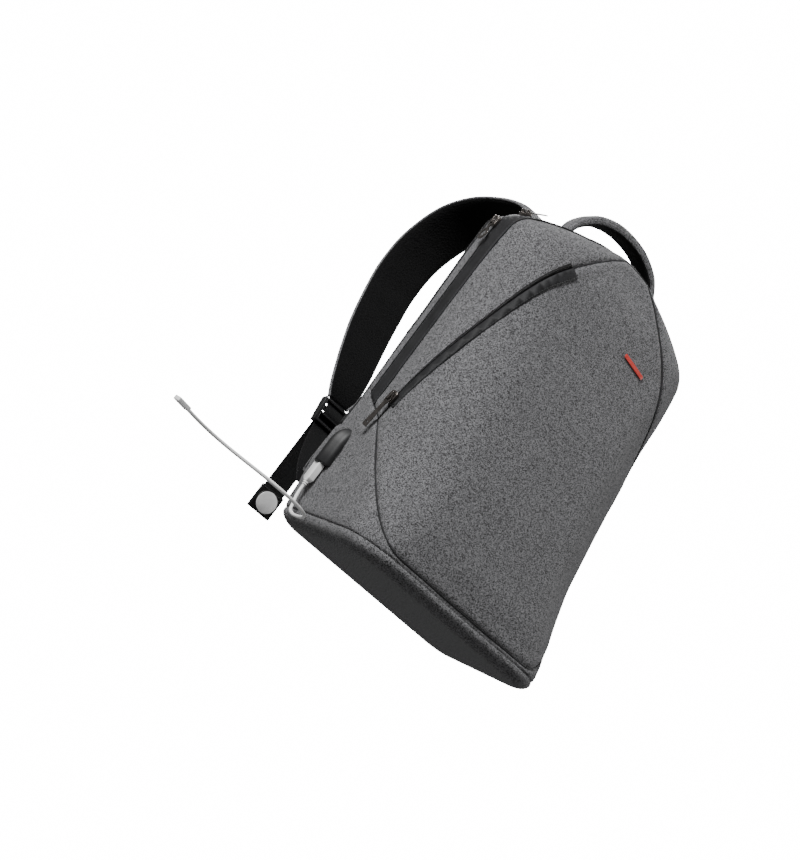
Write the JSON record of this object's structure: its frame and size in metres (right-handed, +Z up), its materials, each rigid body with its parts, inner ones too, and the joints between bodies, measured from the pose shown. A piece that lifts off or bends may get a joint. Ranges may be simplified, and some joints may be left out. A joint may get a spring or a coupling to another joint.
{
  "type": "charging backpack",
  "caption": "Padded upright backpack with a fold-forward zipped front, a front pocket zip, carry handle, shoulder straps and a side charging socket with its cable.",
  "frame": {"origin": "on the floor plane under the base panel, midway between its sides", "axes": "+Z up, -Y towards the front of the bag, +Y towards the straps, +X towards the right shoulder strap seen from the front"},
  "size_m": [0.4978, 0.4106, 0.4945],
  "materials": {
    "heather_fabric": "grey heather woven polyester, padded",
    "trim_fabric": "dark grey coated tape",
    "mesh_fabric": "black air mesh over foam",
    "webbing": "black ribbed webbing",
    "lining_fabric": "thin dark lining",
    "plastic": "black moulded nylon",
    "rubber": "soft black rubber",
    "zip_metal": "gunmetal plated zinc",
    "white_plastic": "white cable sheath and plug",
    "reflector": "pale reflective disc",
    "label_red": "red printed bar",
    "plug_steel": "plated steel shell",
    "bank_shell": "dark satin shell"
  },
  "bodies": {
    "bag": {"base_panel": "heather_fabric", "lower_body": "heather_fabric", "back_panel": "heather_fabric", "back_band": "heather_fabric", "fold_band": "heather_fabric", "back_edge_strip": "trim_fabric", "main_zip_chain": "webbing", "back_pad_left": "mesh_fabric", "back_pad_right": "mesh_fabric", "lumbar_pad": "mesh_fabric", "laptop_divider": "lining_fabric", "power_bank_pocket": "lining_fabric", "power_bank": "bank_shell", "usb_pod": "rubber", "usb_plug": "white_plastic", "usb_plug_tip": "plug_steel", "usb_cable": "white_plastic", "phone_plug": "white_plastic", "lead_plug": "plastic", "power_lead": "plastic", "handle_patch_left": "heather_fabric", "handle_patch_right": "heather_fabric", "shoulder_strap_left": "mesh_fabric", "ladder_lock_left": "plastic", "anchor_webbing_left": "webbing", "shoulder_strap_right": "mesh_fabric", "ladder_lock_right": "plastic", "anchor_webbing_right": "webbing"},
    "front_flap": {"gusset": "heather_fabric", "front_panel": "heather_fabric", "main_zip_guard": "trim_fabric", "pocket_zip_guard": "trim_fabric", "pocket_zip_chain": "webbing", "label_bar": "label_red", "pocket_lining": "lining_fabric"},
    "carry_handle": {"carry_handle": "heather_fabric"},
    "main_slider_left": {"main_slider_left": "zip_metal"},
    "main_slider_left_puller": {"main_slider_left_puller": "zip_metal"},
    "main_slider_top": {"main_slider_top": "zip_metal"},
    "main_slider_top_puller": {"main_slider_top_puller": "zip_metal"},
    "pocket_slider": {"pocket_slider": "zip_metal"},
    "pocket_slider_puller": {"pocket_slider_puller": "zip_metal"},
    "tail_left": {"strap_tail_left": "webbing", "tail_tab_left": "webbing", "tail_disc_left": "reflector"},
    "tail_right": {"strap_tail_right": "webbing", "tail_tab_right": "webbing", "tail_disc_right": "reflector"}
  },
  "joints": [
    {"name": "front_flap_fold", "type": "hinge", "parent": "bag", "child": "front_flap", "pos_m": [0, 0.035, 0.15], "axis": [1, 0, 0], "range_deg": [0, 20], "deforming": ["fold_band"]},
    {"name": "handle_flop", "type": "hinge", "parent": "bag", "child": "carry_handle", "pos_m": [0, 0.065, 0.4416], "axis": [1, 0, 0], "range_deg": [-30, 30]},
    {"name": "main_slider_left_run", "type": "slide", "parent": "bag", "child": "main_slider_left", "axis": [0.0316, 0.0503, -0.9982], "range_m": [0, 0.203]},
    {"name": "main_slider_left_puller_lift", "type": "hinge", "parent": "main_slider_left", "child": "main_slider_left_puller", "pos_m": [-0.15298, 0.04774, 0.38295], "axis": [0.02, 0.9986, 0.05], "range_deg": [0, 140]},
    {"name": "main_slider_top_run", "type": "hinge", "parent": "bag", "child": "main_slider_top", "pos_m": [0, 0.05577, 0.22115], "axis": [0, 0.9987, 0.0504], "range_deg": [0, 66]},
    {"name": "main_slider_top_puller_lift", "type": "hinge", "parent": "main_slider_top", "child": "main_slider_top_puller", "pos_m": [-0.1292, 0.04575, 0.41617], "axis": [0.015, -0.9971, -0.074], "range_deg": [0, 140]},
    {"name": "pocket_slider_run", "type": "hinge", "parent": "front_flap", "child": "pocket_slider", "pos_m": [0.23128, 0.24409, 0.21765], "axis": [-0.554, 0.8001, 0.23], "range_deg": [0, 25.9]},
    {"name": "pocket_slider_puller_lift", "type": "hinge", "parent": "pocket_slider", "child": "pocket_slider_puller", "pos_m": [-0.14778, 0.00128, 0.15497], "axis": [-0.297, 0.915, 0.273], "range_deg": [0, 140]},
    {"name": "tail_left_swing", "type": "hinge", "parent": "bag", "child": "tail_left", "pos_m": [-0.106, 0.184, 0.123], "axis": [1, 0, 0], "range_deg": [-4, 40]},
    {"name": "tail_right_swing", "type": "hinge", "parent": "bag", "child": "tail_right", "pos_m": [0.106, 0.184, 0.123], "axis": [1, 0, 0], "range_deg": [-4, 40]}
  ]
}
